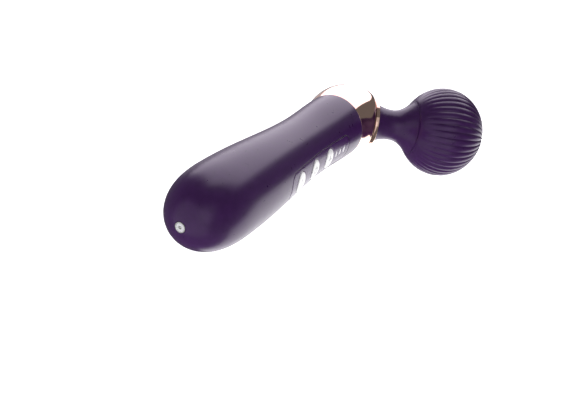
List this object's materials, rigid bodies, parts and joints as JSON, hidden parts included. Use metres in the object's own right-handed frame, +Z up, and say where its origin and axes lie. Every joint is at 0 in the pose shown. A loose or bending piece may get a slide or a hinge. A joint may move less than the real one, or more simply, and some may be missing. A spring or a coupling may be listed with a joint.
{
  "type": "wand massager",
  "caption": "Handheld wand massager with a bulbous soft-skinned handle, a push-button panel, an angled flexible neck and a ribbed round vibrating head.",
  "frame": {"origin": "centre of the charging contact's face, in the handle's rear pole", "axes": "+X along the handle towards the collar; the head bends towards -Y and the panel faces -Y; +Z is up as the wand lies on its collar and head, so the plane of symmetry is rolled 6.2 degrees about X from Z = 0"},
  "size_m": [0.2208, 0.0912, 0.0507],
  "materials": {
    "silicone_purple": "soft-touch silicone, satin",
    "rose_gold": "polished rose-gold plating",
    "panel_plastic": "satin moulded plastic",
    "button_white": "smooth white plastic",
    "light_white": "translucent white plastic",
    "contact_nickel": "nickel-plated contact",
    "contact_grey": "light grey plastic",
    "seal_black": "black seal rubber",
    "shell_grey": "moulded ABS",
    "screw_steel": "zinc-plated steel",
    "board_green": "solder mask",
    "chip_black": "moulded epoxy",
    "wire_red": "PVC insulation",
    "cell_blue": "shrink sleeve on a steel can",
    "core_grey": "moulded elastomer",
    "motor_steel": "plated steel",
    "magnet_dark": "coated ferrite",
    "armature_copper": "enamelled copper winding",
    "bush_brass": "sintered bronze"
  },
  "bodies": {
    "handle": {"handle_skin": "silicone_purple", "back_shell": "shell_grey", "panel_shell": "shell_grey", "shell_screws": "screw_steel", "panel_insert": "panel_plastic", "charge_ring": "contact_nickel", "charge_insulator": "contact_grey", "charge_pin": "contact_nickel", "charge_socket": "chip_black", "charge_seal": "seal_black", "charge_leads": "wire_red", "battery_cell": "cell_blue", "battery_cradle": "shell_grey", "battery_tabs": "contact_nickel", "main_board": "board_green", "board_screws": "screw_steel", "board_chips": "chip_black", "switch_housings": "chip_black", "light_guide": "light_white", "light_chips": "light_white", "board_leads": "wire_red", "collar": "rose_gold", "neck_anchor": "shell_grey", "groove_seal": "seal_black", "neck_ring": "rose_gold"},
    "rear_button": {"button_rear": "button_white", "plunger_rear": "chip_black"},
    "middle_button": {"button_middle": "button_white", "plunger_middle": "chip_black"},
    "front_button": {"button_front": "button_white", "plunger_front": "chip_black"},
    "neck_link": {"neck_core": "core_grey"},
    "head": {"neck_leads": "wire_red", "neck_sleeve": "silicone_purple", "head_rear_shell": "shell_grey", "head_front_shell": "shell_grey", "head_screws": "screw_steel", "head_cap": "silicone_purple", "motor_cradle": "shell_grey", "motor_can": "motor_steel", "motor_magnets": "magnet_dark", "motor_end_cap": "contact_grey", "motor_bush": "bush_brass"},
    "rotor": {"motor_shaft": "motor_steel", "motor_armature": "armature_copper", "eccentric_weight": "motor_steel"}
  },
  "joints": [
    {"name": "press_rear", "type": "slide", "parent": "handle", "child": "rear_button", "axis": [0, 0.9942, -0.108], "range_m": [0, 0.0006], "stiffness_N_per_m": 1200, "springref_m": -0.0004},
    {"name": "press_middle", "type": "slide", "parent": "handle", "child": "middle_button", "axis": [0, 0.9942, -0.108], "range_m": [0, 0.0006], "stiffness_N_per_m": 1200, "springref_m": -0.0004},
    {"name": "press_front", "type": "slide", "parent": "handle", "child": "front_button", "axis": [0, 0.9942, -0.108], "range_m": [0, 0.0006], "stiffness_N_per_m": 1200, "springref_m": -0.0004},
    {"name": "neck_bend", "type": "hinge", "parent": "handle", "child": "neck_link", "pos_m": [0.17444, -0.01693, 0.00184], "axis": [0, 0.108, 0.9942], "range_deg": [-15, 15], "stiffness_Nm_per_rad": 1.5, "deforming": ["neck_sleeve", "neck_leads"]},
    {"name": "neck_sway", "type": "hinge", "parent": "neck_link", "child": "head", "pos_m": [0.17874, -0.02304, 0.0025], "axis": [0.8192, 0.5702, -0.0619], "range_deg": [-15, 15], "stiffness_Nm_per_rad": 1.5, "deforming": ["neck_sleeve", "neck_leads"]},
    {"name": "motor_spin", "type": "hinge", "parent": "head", "child": "rotor", "pos_m": [0.19595, -0.04747, 0.00516], "axis": [0.5736, -0.8144, 0.0885], "continuous": true}
  ]
}
